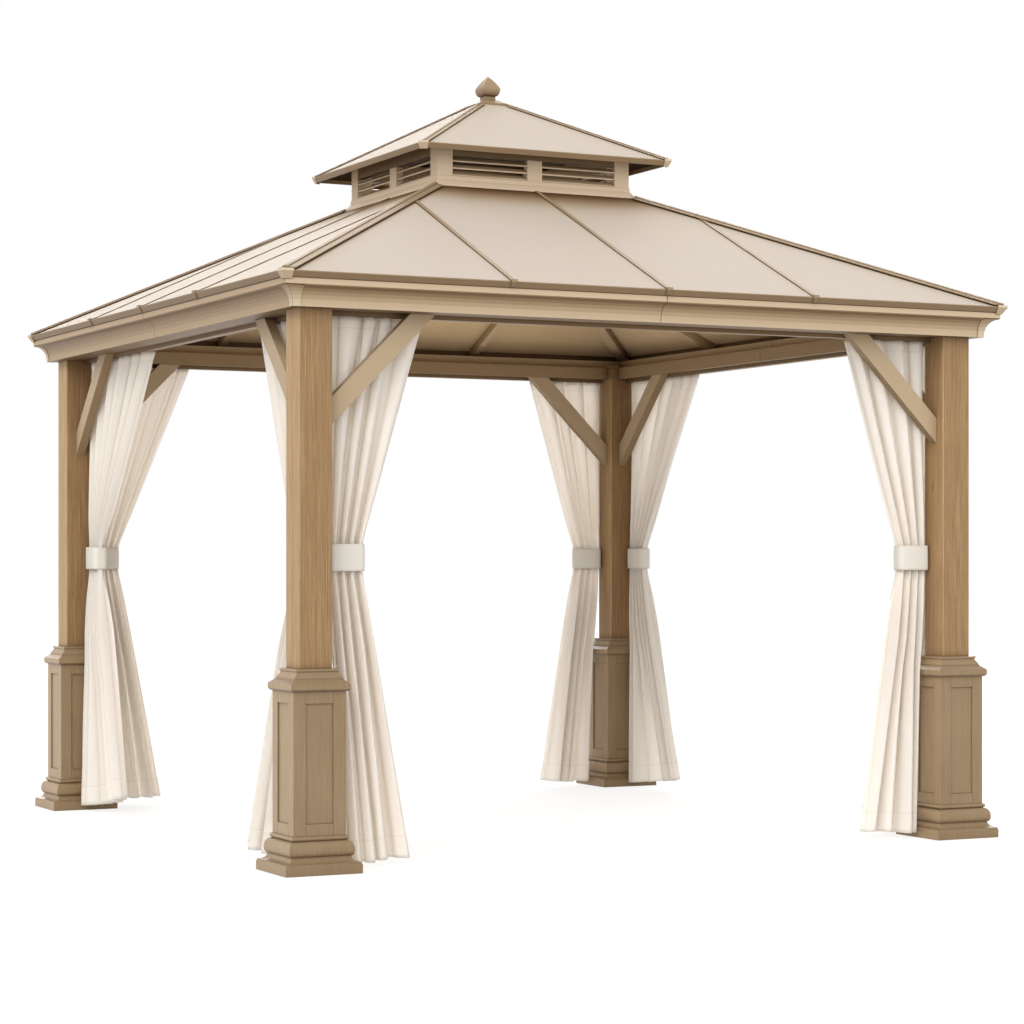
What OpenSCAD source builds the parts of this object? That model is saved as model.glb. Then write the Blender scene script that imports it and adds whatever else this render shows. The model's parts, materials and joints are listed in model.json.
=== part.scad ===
// Hardtop gazebo: four posts on panelled pedestals, a coved crown, a ribbed hip roof,
// a louvred cupola with its own small roof, and tied-back curtains in all four bays.
// Millimetres, +Z up, origin on the ground in the middle of the plan.
// The front is -Y and the left is -X. Sides count front 0, right 1, back 2, left 3.
// An outline is a list of [distance out from the middle, height].

/* [Posts] */
// Distance from the middle of the plan to each post's centreline
post_centre = 1630; // [1400:10:2200]
// Width of a square post
post_w = 150; // [120:1:165]
// Chamfer along a post's edges
post_chamfer = 4; // [1:0.5:10]
// Width of the groove where two boards meet on each face
groove_w = 3; // [1:0.5:6]
// Height of the beams' undersides, where the posts end
beam_z = 2360; // [2200:10:2700]

/* [Pedestals] */
// Width of the square plinth
plinth_w = 344; // [320:1:390]
// Height of the plinth
plinth_h = 41; // [20:1:80]
// Chamfer along the plinth's top edge
plinth_chamfer = 3; // [1:0.5:6]
// Height of the small upright step on the plinth
plinth_step = 6; // [2:1:10]
// Height of the hollow slope on the plinth
slope_h = 31; // [20:1:60]
// Width where the bulge turns in over the slope
undercut_w = 270; // [258:1:280]
// Width over the round bulge
bulge_w = 294; // [284:1:314]
// Height of the round bulge
bulge_h = 66; // [54:1:84]
// Height of the bulge's round underside
bulge_turn_h = 24; // [12:1:30]
// Height of the upright face round the bulge at its widest
bulge_face_h = 4; // [2:1:10]
// Height of the fine upright lines under the bulge and under the bead
fine_line_h = 2; // [1:0.5:4]
// Width of the base between the bulge and the bead
base_neck_w = 243; // [240:1:248]
// Width over the bead along the top of the base
bead_w = 256; // [252:1:270]
// Height of the bead with the fine line under it
bead_h = 20; // [12:1:32]
// Width of the panelled body
body_w = 236; // [212:1:238]
// Height of the panelled body
body_h = 602; // [450:1:700]
// Width of the sunk panel on each face
panel_w = 125; // [80:1:160]
// Height of the rail over and under the sunk panel
panel_rail = 50; // [30:1:90]
// Depth of the sunk panel
panel_depth = 7; // [3:0.5:12]
// Width and depth of the fine lines between the boards
board_line = 1.2; // [0.6:0.2:3]
// Width of the cap block
cap_w = 268; // [258:1:290]
// Height of the cap block
cap_h = 31; // [20:1:50]
// Bevel under the cap block
cap_bevel = 8; // [3:1:12]
// Height of the sloped top of the cap block
cap_slope_h = 17; // [8:1:30]
// Width at the foot of the ogee
ogee_w = 214; // [206:1:240]
// Height of the ogee
ogee_h = 35; // [20:1:60]
// Height and depth of the small step at the ogee's foot
ogee_step = 3.5; // [1:0.5:6]
// Width at the top of the ogee
neck_w = 184; // [180:1:200]
// Width of the top collar
collar_w = 192; // [188:1:210]
// Height of the top collar
collar_h = 10; // [5:1:20]

/* [Beams and crown] */
// Height of the beams
beam_h = 65; // [50:1:90]
// Distance from the post's centreline in to the beam's inner face
beam_in = 27; // [25:1:35]
// Distance from the post's centreline out to the beam's outer face
beam_out = 48; // [40:1:60]
// Height of the small cap on each corner block
block_cap_h = 11; // [5:1:20]
// Distance from the post's centreline out to the crown's lower edge
crown_foot = 121; // [110:1:140]
// Height of the upright face along the crown's foot
crown_band_h = 12; // [6:1:20]
// Depth of the small step over the cove
crown_step = 5; // [2:1:6]
// How far the cove reaches out
cove_out = 53; // [35:1:60]
// Height of the cove
cove_h = 71; // [40:1:80]
// Height of the fascia over the cove
fascia_h = 24; // [15:1:40]
// Width of the crown's corner covers at the foot
corner_cover_w = 33; // [20:1:60]
// Width of the open joint in the middle of each beam and crown
crown_joint = 3; // [1:0.5:6]
// Thickness of the sheet covers
cover_t = 3; // [1.5:0.5:4]

/* [Main roof] */
// How far the eave reaches out past the crown's fascia
eave_over = 21; // [12:1:28]
// Slope of the main roof in degrees
roof_pitch = 24.7; // [20:0.1:27]
// Thickness of the roof panels
panel_t = 12; // [6:1:16]
// Height of the drip trim along the eave
drip_h = 25; // [20:1:40]
// How far the drip trim leans in towards its foot
drip_lean = 16; // [8:1:18]
// Thickness of the drip trim at its top
drip_t = 8; // [5:1:10]
// Width of the seam caps' clips on the drip trim
clip_w = 28; // [20:1:60]
// Thickness of the seam caps' clips
clip_t = 6; // [4:0.5:8]
// Width of the caps on the corners of the drip trim
corner_cap_w = 50; // [30:1:80]
// How far the corner caps reach over and under the drip trim
corner_cap_over = 6; // [2:0.5:7]
// Width of the caps on the corners of the upper drip trim
upper_cap_w = 34; // [20:1:60]
// Width of the eave rail under the panels
eave_rail_w = 26; // [18:1:40]
// Distance from the middle of each side to the outer seams
seam_x = 765; // [620:5:900]
// Width of the seam caps
seam_w = 20; // [12:1:36]
// Height of the seam caps
seam_h = 5; // [3:1:10]
// Width of the hip caps
hip_w = 76; // [60:1:100]
// Thickness of the hip caps
hip_t = 5; // [3:0.5:8]
// Width of the raised strip along the hip caps
ridge_w = 26; // [14:1:40]
// Height of the raised strip along the hip caps
ridge_h = 4; // [2:0.5:8]
// Gap under the wings of the hip caps
wing_gap = 6; // [2:0.5:8]
// Width of the rafters
rafter_w = 40; // [30:1:60]
// Depth of the rafters
rafter_d = 42; // [30:1:60]
// Length of the level seat at a rafter's foot
rafter_seat = 30; // [15:1:60]
// Width of the hip rafters
hip_rafter_w = 56; // [40:1:70]
// Depth of the hip rafters
hip_rafter_d = 50; // [40:1:60]

/* [Knee braces] */
// Length of a brace's longer side along the beam
brace_leg = 500; // [400:5:560]
// Depth of a brace, square to its length
brace_d = 82; // [60:1:100]
// Thickness of a brace
brace_t = 45; // [30:1:45]

/* [Cupola] */
// Half of the cupola's width
cupola_half = 520; // [460:5:560]
// Height of the cupola wall's foot above the roof at its face
curb_rise = 41.5; // [41:0.5:70]
// Width of the corner posts
cupola_post_w = 80; // [60:1:100]
// Width of the mullions
mullion_w = 80; // [60:1:100]
// Thickness of the cupola's boards
board_t = 36; // [24:1:44]
// Height of the louvred openings
vent_h = 101; // [80:1:130]
// Slats in each opening
slat_count = 3; // [3:1:4]
// Thickness of a slat
slat_t = 3.5; // [3:0.5:4]
// Height of a slat's outer lip as a share of the space between slats
slat_lip = 0.18; // [0.18:0.01:0.3]
// How high a slat climbs inwards as a share of the space between slats
slat_lift = 0.64; // [0.5:0.01:0.7]
// How far the flashing stands out at its foot
flashing_out = 22; // [10:1:34]
// Height of the flashing's upper fillet
flashing_band = 21; // [12:1:30]
// How far the flashing's upper fillet stands out
fillet_out = 4; // [2:0.5:8]
// Thickness of the flashing where it lies on the panels
flashing_t = 8; // [3:0.5:9]

/* [Upper roof] */
// Half of the upper roof's width at the eave
upper_half = 672; // [620:2:760]
// Height of the upper roof's eave above the louvres
upper_eave_rise = 24; // [18:1:48]
// Slope of the upper roof in degrees
upper_pitch = 28; // [24:0.1:32]
// Thickness of the upper panels
upper_t = 10; // [6:1:14]
// Height of the upper drip trim
upper_drip_h = 22; // [18:1:30]
// How far the upper drip trim leans in towards its foot
upper_drip_lean = 10; // [4:1:14]
// Width of the upper hip caps
upper_hip_w = 46; // [30:1:70]
// Half of the apex cap's width
apex_half = 78; // [50:1:120]
// Thickness of the apex cap
apex_t = 9; // [5:1:14]
// Width of the finial at its widest
finial_w = 94; // [60:1:130]
// Height of the finial's bulb
finial_h = 101; // [70:1:150]
// Width of the finial's neck
neck_finial_w = 60; // [40:1:80]
// Height of the finial's neck
neck_finial_h = 20; // [8:1:30]

/* [Curtains] */
// Width of a gathered curtain at the top in the front bay and at the back bay's right end
curtain_top_w = 445; // [300:5:700]
// Width of a gathered curtain at the top in the right bay
side_curtain_top_w = 780; // [300:5:900]
// Width at the top of the curtain at the back bay's left end
back_left_top_w = 560; // [300:5:700]
// Width at the top of the curtain at the left bay's back end
left_back_top_w = 980; // [300:5:1100]
// Width at the top of the curtain at the left bay's front end
left_front_top_w = 600; // [300:5:900]
// Width of a curtain's foot in the front and back bays
curtain_foot_w = 290; // [200:5:450]
// Width of a curtain's foot in the left and right bays
side_curtain_foot_w = 560; // [200:5:700]
// Width of a curtain where its band gathers it
waist_w = 160; // [120:2:240]
// Depth of the folds
fold_d = 66; // [40:1:66]
// How far a curtain's foot spreads out past its folds, towards the posts' outer faces
foot_spread = 120; // [40:1:140]
// How far a curtain's foot spreads the other way
foot_spread_back = 35; // [10:1:60]
// Height over the pedestal where a curtain starts to lean out round it
lean_h = 40; // [20:1:120]
// Gap between a post and the edge of a curtain
curtain_gap = 10; // [8:1:60]
// The same gap at the corner where the curtains of both bays hang inside the braces
corner_gap = 32; // [32:1:60]
// Gap between a curtain and the pedestal that it hangs past
cloth_gap = 8; // [5:1:20]
// Height of the curtains' hems above the ground
hem_z = 25; // [10:1:80]
// Height of the tie bands' lower edges
tie_z = 1260; // [1000:5:1500]
// Height of a tie band
tie_h = 116; // [60:2:160]
// Thickness of a tie band
tie_t = 4; // [2:0.5:6]
// Width of a curtain rail
rail_w = 42; // [20:1:60]
// Height of a curtain rail
rail_h = 18; // [10:1:30]

/* [Hidden] */

wood = [0.67, 0.54, 0.39];
taupe = [0.60, 0.52, 0.42];
tan_paint = [0.68, 0.59, 0.47];
trim_tan = [0.56, 0.48, 0.37];
roof_beige = [0.84, 0.79, 0.72];
cloth = [0.93, 0.89, 0.83];

// Running gap between a piece and what carries it
seat = 0.3;
// How far a cut runs past the face that it opens
past = 1;
// Gap between two lengths that meet at a joint or a mitre
joint_gap = 1.5;
// Gap between the end of a trim and the piece that it runs up to
trim_gap = 2;
// Steps along a quarter of a curve
curve_steps = 6;
// Longer than any piece
reach = 4 * post_centre;

sleeve_gap = 0.5;
fit_w = post_w + 2 * sleeve_gap;
slope_z = plinth_h + slope_h;
widest_z = slope_z + bulge_turn_h;
round_z = widest_z + bulge_face_h;
bulge_z = slope_z + bulge_h;
bead_z = bulge_z + fine_line_h;
body_z = bulge_z + bead_h;
bead_round = (body_z - bead_z) / 2;
cap_z = body_z + body_h;
cap_top_z = cap_z + cap_h;
ogee_z = cap_top_z + cap_slope_h;
neck_z = ogee_z + ogee_h;
pedestal_h = neck_z + collar_h;

post_inner = post_centre - post_w / 2;
beam_inner = post_centre - beam_in;
beam_outer = post_centre + beam_out;
block_w = beam_inner - post_inner;

cove_foot = post_centre + crown_foot;
cove_z = beam_z + crown_band_h;
cove_head = cove_foot + cove_out;
cove_top_z = cove_z + cove_h;
fascia_out = cove_head + crown_step;
fascia_z = cove_top_z + crown_step;
crown_top_z = fascia_z + fascia_h;

eave_out = fascia_out + eave_over;
eave_z = crown_top_z + drip_h;
rise = tan(roof_pitch);
panel_drop = panel_t / cos(roof_pitch);
eave_rail_out = fascia_out - crown_step;
eave_rail_in = eave_rail_out - eave_rail_w;
panel_edge = eave_out - drip_t;

upper_rise = tan(upper_pitch);
upper_drop = upper_t / cos(upper_pitch);
upper_edge = upper_half - drip_t;

curb_t = 6;
curb_lap = 10;
curb_in = cupola_half - board_t;
curb_out = curb_in + curb_t;
cupola_z = eave_z + (eave_out - cupola_half) * rise + curb_rise;
vent_top_z = cupola_z + vent_h;
upper_eave_z = vent_top_z + upper_eave_rise;

rail_gap = 0.5;
rail_in = brace_t / 2 + rail_gap;
rail_z = beam_z - rail_h;
curtain_top_z = rail_z - seat;
fold_in = rail_in + trim_gap;
fold_out = fold_in + fold_d;
// The curtains' widths at the top, by bay, from the bay's left end as seen from outside
curtain_tops = [
    [curtain_top_w, curtain_top_w], [side_curtain_top_w, side_curtain_top_w],
    [curtain_top_w, back_left_top_w], [left_back_top_w, left_front_top_w]
];

// Heights of the roofs' faces at a distance out from the middle
function roof_top(out) = eave_z + (eave_out - out) * rise;
function roof_under(out) = roof_top(out) - panel_drop;
function upper_top(out) = upper_eave_z + (upper_half - out) * upper_rise;
function upper_under(out) = upper_top(out) - upper_drop;

// Points along part of an ellipse
function curve(centre, radii, from, to) = [
    for (i = [0 : curve_steps])
        let (a = from + (to - from) * i / curve_steps)
        [centre[0] + radii[0] * cos(a), centre[1] + radii[1] * sin(a)]
];

function shifted(outline, out, up = 0) = [for (p = outline) [p[0] + out, p[1] + up]];

// Turns the front side to side i, or the front left corner to corner i
module on_side(i) {
    rotate([0, 0, 90 * i]) children();
}

module on_all_sides() {
    for (i = [0 : 3]) on_side(i) children();
}

// A straight length along the front side, from x_low to x_high
module front_length(outline, x_low, x_high) {
    translate([x_low, 0, 0])
        rotate([90, 0, 90])
            linear_extrude(x_high - x_low)
                polygon([for (p = outline) [-p[0], p[1]]]);
}

// The part of the plan that belongs to the front side, held back from its mitres
module front_wedge(back = 0) {
    translate([0, -back * sqrt(2), 0])
        linear_extrude(reach)
            polygon([[0, 0], [-reach, -reach], [reach, -reach]]);
}

// A length along the front side that is mitred at both ends
module mitred_front(outline, back = joint_gap / 2) {
    intersection() {
        front_length(outline, -reach / 2, reach / 2);
        front_wedge(back);
    }
}

// A square block whose four faces follow one outline, from its foot up
module moulded_block(outline) {
    last = len(outline) - 1;
    both = concat(outline, [for (i = [last : -1 : 0]) [-outline[i][0], outline[i][1]]]);
    intersection() {
        rotate([90, 0, 90]) linear_extrude(reach, center = true) polygon(both);
        rotate([90, 0, 0]) linear_extrude(reach, center = true) polygon(both);
    }
}

// One face of a post in plan, from its left chamfer to its right one, with a groove
function post_face(turn) = [
    for (p = [
        [post_chamfer - post_w / 2, -post_w / 2], [-groove_w / 2, -post_w / 2],
        [0, groove_w / 2 - post_w / 2], [groove_w / 2, -post_w / 2],
        [post_w / 2 - post_chamfer, -post_w / 2]
    ]) [p[0] * cos(turn) - p[1] * sin(turn), p[0] * sin(turn) + p[1] * cos(turn)]
];

module at_posts() {
    for (i = [0 : 3]) rotate([0, 0, 90 * i]) translate([-post_centre, -post_centre, 0]) children();
}

// ---- Posts and pedestals ----

module posts() {
    color(wood) at_posts() linear_extrude(beam_z)
        polygon(concat(post_face(0), post_face(90), post_face(180), post_face(270)));
}

// A pedestal's piece fits round the post like a sleeve
module round_post() {
    color(taupe) at_posts() difference() {
        children();
        translate([-fit_w / 2, -fit_w / 2, -past]) cube([fit_w, fit_w, pedestal_h + 2 * past]);
    }
}

module pedestal_bases() {
    edge = plinth_w / 2 - plinth_chamfer;
    round_post() moulded_block(concat(
        [[plinth_w / 2, 0], [plinth_w / 2, plinth_h - plinth_chamfer], [edge, plinth_h]],
        curve([edge, slope_z], [edge - undercut_w / 2, slope_h - plinth_step], 270, 180),
        curve([undercut_w / 2, widest_z], [(bulge_w - undercut_w) / 2, bulge_turn_h - fine_line_h], -90, 0),
        curve([base_neck_w / 2, round_z], [(bulge_w - base_neck_w) / 2, bulge_z - round_z], 0, 90),
        curve([base_neck_w / 2, bead_z + bead_round], [(bead_w - base_neck_w) / 2, bead_round], -90, 90)
    ));
}

// The sunk panel, and the fine lines where the rails butt against the full-height stiles
module panelled_face() {
    translate([-panel_w / 2, -body_w / 2 - past, body_z + panel_rail])
        cube([panel_w, panel_depth + past, body_h - 2 * panel_rail]);
    for (x = [-panel_w / 2, panel_w / 2 - board_line])
        translate([x, -body_w / 2 - past, body_z - past])
            cube([board_line, board_line + past, body_h + 2 * past]);
}

module pedestal_bodies() {
    round_post() difference() {
        translate([-body_w / 2, -body_w / 2, body_z]) cube([body_w, body_w, body_h]);
        on_all_sides() panelled_face();
    }
}

module pedestal_caps() {
    round_post() moulded_block(concat(
        [[cap_w / 2 - cap_bevel, cap_z], [cap_w / 2, cap_z + cap_bevel], [cap_w / 2, cap_top_z]],
        [[ogee_w / 2 + ogee_step, ogee_z], [ogee_w / 2 + ogee_step, ogee_z + ogee_step]],
        [for (i = [0 : 2 * curve_steps])
            let (t = i / (2 * curve_steps))
            [ogee_w / 2 - (ogee_w - neck_w) / 2 * (1 - cos(180 * t)) / 2,
                ogee_z + ogee_step + (ogee_h - ogee_step) * t]],
        [[collar_w / 2, neck_z], [collar_w / 2, pedestal_h]]
    ));
}

// ---- Beams and crown ----

beam_outline = [
    [beam_inner, beam_z], [beam_outer, beam_z],
    [beam_outer, beam_z + beam_h], [beam_inner, beam_z + beam_h]
];

// Cuts the joint in the middle of one side's beam or crown
module cut_joint() {
    difference() {
        children();
        translate([-crown_joint / 2, -reach, beam_z - past]) cube([crown_joint, reach, reach]);
    }
}

module beams() {
    color(tan_paint) on_all_sides() cut_joint() mitred_front(beam_outline);
}

// Small square blocks over the posts' inner corners, where the beams meet
module corner_blocks() {
    cap_over = 4;
    side = block_w - seat;
    color(tan_paint) for (i = [0 : 3]) rotate([0, 0, 90 * i])
        translate([-post_inner, -post_inner, beam_z]) {
            translate([-side, -side, 0]) cube([side, side, beam_h]);
            translate([-side, -side, beam_h])
                cube([side + cap_over, side + cap_over, block_cap_h]);
        }
}

cove_face = concat(
    [[cove_foot, beam_z]],
    curve([cove_head, cove_z], [cove_out, cove_h], 180, 90)
);
crown_outline = concat(
    [[beam_outer + seat, crown_top_z], [beam_outer + seat, beam_z]], cove_face,
    [[fascia_out, fascia_z], [fascia_out, crown_top_z]]
);

// One side's crown in two lengths that meet in the middle
module crown(i) {
    color(tan_paint) on_side(i) cut_joint() mitred_front(crown_outline);
}

module crown_front() { crown(0); }
module crown_right() { crown(1); }
module crown_back() { crown(2); }
module crown_left() { crown(3); }

// Sheet covers over the cove on both sides of each mitre, up to the fascia
module crown_covers() {
    cover_outer = shifted(cove_face, seat + cover_t, -seat);
    cover_inner = shifted(cove_face, seat);
    color(tan_paint) intersection() {
        difference() {
            moulded_block(cover_outer);
            moulded_block(concat(
                [[cove_foot + seat, beam_z - past]], cover_inner,
                [[cove_head + seat, fascia_z + past]]
            ));
            for (turn = [45, 135])
                rotate([0, 0, turn]) cube([2 * reach, joint_gap, 2 * reach], center = true);
        }
        for (i = [0 : 3]) rotate([0, 0, 90 * i])
            translate([-cove_foot - reach, -cove_foot - reach, 0])
                cube([reach + corner_cover_w, reach + corner_cover_w, reach]);
    }
}

// ---- Main roof ----

module eave_rails() {
    outline = [
        [eave_rail_in, crown_top_z], [eave_rail_out, crown_top_z],
        [eave_rail_out, roof_under(eave_rail_out) - seat],
        [eave_rail_in, roof_under(eave_rail_in) - seat]
    ];
    color(tan_paint) on_all_sides() mitred_front(outline);
}

// Underside bars from the eave rail up to the curb, cut short at the hip rafters
rafter_drop = rafter_d / cos(roof_pitch);
rafter_foot = eave_rail_in - seat;
rafter_rest = eave_rail_in - rafter_seat;
rafter_outline = [
    [rafter_foot, roof_under(rafter_foot) - seat],
    [rafter_foot, crown_top_z + seat],
    [rafter_rest, max(crown_top_z + seat, roof_under(rafter_rest) - rafter_drop)],
    [curb_out + seat, roof_under(curb_out) - rafter_drop],
    [curb_out + seat, roof_under(curb_out + seat) - seat]
];

module rafters() {
    color(trim_tan) on_all_sides() intersection() {
        union() {
            for (x = [-seam_x, 0, seam_x])
                front_length(rafter_outline, x - rafter_w / 2, x + rafter_w / 2);
        }
        front_wedge(hip_rafter_w / 2 + seat);
    }
}

// Along a hip, the height changes by hip_rise for each millimetre of diagonal
hip_rise = rise / sqrt(2);
hip_slope = atan(hip_rise);
upper_hip_slope = atan(upper_rise / sqrt(2));

// A bar along the front left hip, from the roof's corner at low_out up to high_out.
// Its section is square to the hip, with [0, 0] on the hip line.
module hip_bar(section, slope, low_out, high_out, line_z) {
    spare = 2 * hip_w;
    long = (low_out - high_out) * sqrt(2) + 2 * spare;
    intersection() {
        translate([-low_out, -low_out, line_z])
            rotate([0, 0, 45])
                rotate([0, -slope, 0])
                    translate([-spare, 0, 0])
                        rotate([90, 0, 90])
                            linear_extrude(long) polygon(section);
        translate([0, 0, line_z - reach / 2])
            linear_extrude(reach)
                polygon([
                    [-low_out * 2, 0], [0, -low_out * 2],
                    [0, -high_out * 2], [-high_out * 2, 0]
                ]);
    }
}

module hip_rafters() {
    under = -panel_drop * cos(hip_slope) - seat;
    side = hip_rafter_w / 2;
    fall = side * sin(hip_slope);
    section = [
        [-side, under - hip_rafter_d], [side, under - hip_rafter_d],
        [side, under - fall], [0, under], [-side, under - fall]
    ];
    color(trim_tan) for (i = [0 : 3]) rotate([0, 0, 90 * i])
        hip_bar(section, hip_slope, rafter_foot, curb_out + seat, roof_top(rafter_foot));
}

// A brace lies in its bay's plane, cut plumb at the post and level at the beam
module knee_braces() {
    short_leg = brace_leg - brace_d * sqrt(2);
    color(tan_paint) on_all_sides() for (end = [0, 1]) mirror([end, 0, 0])
        translate([-post_inner, -post_centre + brace_t / 2, beam_z])
            rotate([90, 0, 0])
                linear_extrude(brace_t)
                    polygon([[0, -brace_leg], [0, -short_leg], [short_leg, 0], [brace_leg, 0]]);
}

// One side of the main roof, in four panels that meet under the seam caps
module roof_side(i) {
    outline = [
        [panel_edge, roof_top(panel_edge)], [panel_edge, roof_under(panel_edge)],
        [curb_out + seat, roof_under(curb_out + seat)], [curb_out + seat, roof_top(curb_out + seat)]
    ];
    cuts = [-eave_out, -seam_x, 0, seam_x, eave_out];
    color(roof_beige) on_side(i) for (k = [0 : 3]) intersection() {
        front_length(outline, cuts[k] + joint_gap / 2, cuts[k + 1] - joint_gap / 2);
        front_wedge(joint_gap / 2);
    }
}

module roof_front() { roof_side(0); }
module roof_right() { roof_side(1); }
module roof_back() { roof_side(2); }
module roof_left() { roof_side(3); }

drip_foot = eave_out - drip_lean;
drip_lip = 4;
foot_gap = 3;
foot_lap = 1;
drip_face = [
    [drip_foot, crown_top_z + foot_gap], [eave_out, eave_z], [eave_out, eave_z + drip_lip]
];

// The trim stands on the crown at its back and shows a narrow gap at its foot
module drip_trim() {
    back = eave_rail_out + seat;
    outline = concat(drip_face, [
        [panel_edge + seat, eave_z + drip_lip],
        [panel_edge + seat, roof_under(panel_edge) - seat - seat],
        [back, roof_under(back) - seat],
        [back, crown_top_z], [fascia_out - foot_lap, crown_top_z],
        [fascia_out - foot_lap, crown_top_z + foot_gap]
    ]);
    color(trim_tan) on_all_sides() mitred_front(outline);
}

// Bent caps over the corners of a drip trim, a little taller than the trim
module drip_corner_caps(out, foot_z, head_z, lean, w) {
    low = foot_z - corner_cap_over;
    high = head_z + corner_cap_over;
    fall = lean / (head_z - foot_z);
    face = [
        [out - lean - corner_cap_over * fall, low], [out, head_z - drip_lip],
        [out, high]
    ];
    intersection() {
        difference() {
            moulded_block(shifted(face, seat + cover_t));
            moulded_block(concat([[face[0][0] + seat, low - past]], shifted(face, seat),
                [[out + seat, high + past]]));
        }
        for (i = [0 : 3]) rotate([0, 0, 90 * i])
            translate([w - out - reach, w - out - reach, 0]) cube([reach, reach, reach]);
    }
}

module corner_caps() {
    color(trim_tan) {
        drip_corner_caps(eave_out, crown_top_z, eave_z + drip_lip, drip_lean, corner_cap_w);
        drip_corner_caps(upper_half, upper_foot_z, upper_eave_z + drip_lip, upper_drip_lean, upper_cap_w);
    }
}

// Caps over the seams, each with a clip folded down over the drip trim
module seam_caps() {
    low = panel_edge;
    high = cupola_half + flashing_out + trim_gap;
    outline = [
        [low, roof_top(low) + seat], [low, roof_top(low) + seat + seam_h],
        [high, roof_top(high) + seat + seam_h], [high, roof_top(high) + seat]
    ];
    clip_foot = drip_foot + trim_gap;
    clip_z = crown_top_z + foot_gap + trim_gap;
    tail = low - clip_t;
    clip = [
        [clip_foot + seat, clip_z], [clip_foot + clip_t, clip_z],
        [eave_out + clip_t, eave_z], [eave_out + clip_t, eave_z + drip_lip + seam_h + clip_t / 2],
        [tail, roof_top(tail) + seat + seam_h], [tail, roof_top(tail) + seat],
        [low, roof_top(low) + seat],
        [eave_out + seat, eave_z + drip_lip + seat], [eave_out + seat, eave_z]
    ];
    color(trim_tan) on_all_sides() {
        intersection() {
            union() {
                for (x = [-seam_x, 0, seam_x])
                    front_length(outline, x - seam_w / 2, x + seam_w / 2);
            }
            front_wedge(hip_w / 2 + seat);
        }
        for (x = [-seam_x, 0, seam_x]) front_length(clip, x - clip_w / 2, x + clip_w / 2);
    }
}

// The section of a cap along a hip: a batten on the hip line, two wings and a raised strip
function hip_cap_section(w, t, lift, strip_w, strip_h, slope) =
    let (
        m = sin(slope), a = w / 2, b = strip_w / 2, top = seat + lift + t,
        half = [
            [0, seat], [b, seat - b * m], [b, seat + lift - b * m], [a, seat + lift - a * m],
            [a, top - a * m], [b, top - b * m], [b, top + strip_h - b * m], [0, top + strip_h]
        ]
    )
    concat(half, [for (i = [6 : -1 : 1]) [-half[i][0], half[i][1]]]);

// Hip caps in a long lower length and a short upper one
module hip_caps() {
    section = hip_cap_section(hip_w, hip_t, wing_gap, ridge_w, ridge_h, hip_slope);
    high = cupola_half + flashing_out + trim_gap;
    low = panel_edge - trim_gap;
    color(trim_tan) for (i = [0 : 3]) rotate([0, 0, 90 * i]) intersection() {
        union() {
            hip_bar(section, hip_slope, low + hip_w, seam_x + joint_gap, roof_top(low + hip_w));
            hip_bar(section, hip_slope, seam_x, high, roof_top(seam_x));
        }
        translate([-low, -low, 0]) cube([2 * low, 2 * low, reach]);
    }
}

// ---- Cupola ----

// The curb lines the roof opening and carries the cupola; its flashing laps the panels
module cupola_curb() {
    foot = cupola_half + flashing_out;
    low_z = roof_under(curb_out) - rafter_drop - curb_lap;
    fillet = cupola_half + fillet_out;
    fillet_z = cupola_z - flashing_band;
    outline = [
        [curb_in, low_z], [curb_out, low_z], [curb_out, roof_top(curb_out) + seat],
        [foot, roof_top(foot) + seat], [foot, roof_top(foot) + seat + flashing_t],
        [fillet + fillet_out, fillet_z - trim_gap], [fillet, fillet_z], [fillet, cupola_z],
        [curb_in, cupola_z]
    ];
    color(tan_paint) on_all_sides() mitred_front(outline, joint_gap / 4);
}

// The corner posts and the mullions between the louvres
module cupola_uprights() {
    top = upper_under(cupola_half) - seat;
    color(tan_paint) on_all_sides() {
        translate([-cupola_half, -cupola_half, cupola_z])
            cube([cupola_post_w, cupola_post_w, top - cupola_z]);
        translate([-mullion_w / 2, -cupola_half, cupola_z]) cube([mullion_w, board_t, vent_h]);
    }
}

module cupola_rails() {
    inner = cupola_half - board_t;
    half = cupola_half - cupola_post_w - seat;
    outline = [
        [inner, vent_top_z], [cupola_half, vent_top_z],
        [cupola_half, upper_under(cupola_half) - seat], [inner, upper_under(cupola_half) - seat]
    ];
    color(tan_paint) on_all_sides() front_length(outline, -half, half);
}

// Slanted slats, each with a lip along its outer edge
module louvres(i) {
    pitch = vent_h / slat_count;
    outer = cupola_half - trim_gap;
    inner = cupola_half - board_t + trim_gap;
    lip = pitch * slat_lip;
    lift = pitch * slat_lift;
    x_low = mullion_w / 2 + seat;
    x_high = cupola_half - cupola_post_w - seat;
    color(trim_tan) on_side(i) for (k = [0 : slat_count - 1]) {
        z = cupola_z + pitch * k + trim_gap;
        outline = [
            [outer, z], [outer, z + lip], [outer - slat_t, z + lip],
            [inner, z + lift + slat_t], [inner, z + lift], [outer - slat_t, z + lip - slat_t],
            [outer - slat_t, z]
        ];
        for (end = [0, 1]) mirror([end, 0, 0]) front_length(outline, x_low, x_high);
    }
}

module louvres_front() { louvres(0); }
module louvres_right() { louvres(1); }
module louvres_back() { louvres(2); }
module louvres_left() { louvres(3); }

// ---- Upper roof ----

module upper_roof() {
    top = apex_half / 2 + seat;
    outline = [
        [upper_edge, upper_top(upper_edge)], [upper_edge, upper_under(upper_edge)],
        [top, upper_under(top)], [top, upper_top(top)]
    ];
    color(roof_beige) on_all_sides() mitred_front(outline);
}

upper_foot_z = upper_eave_z - upper_drip_h;
upper_face = [
    [upper_half - upper_drip_lean, upper_foot_z], [upper_half, upper_eave_z],
    [upper_half, upper_eave_z + drip_lip]
];

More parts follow.
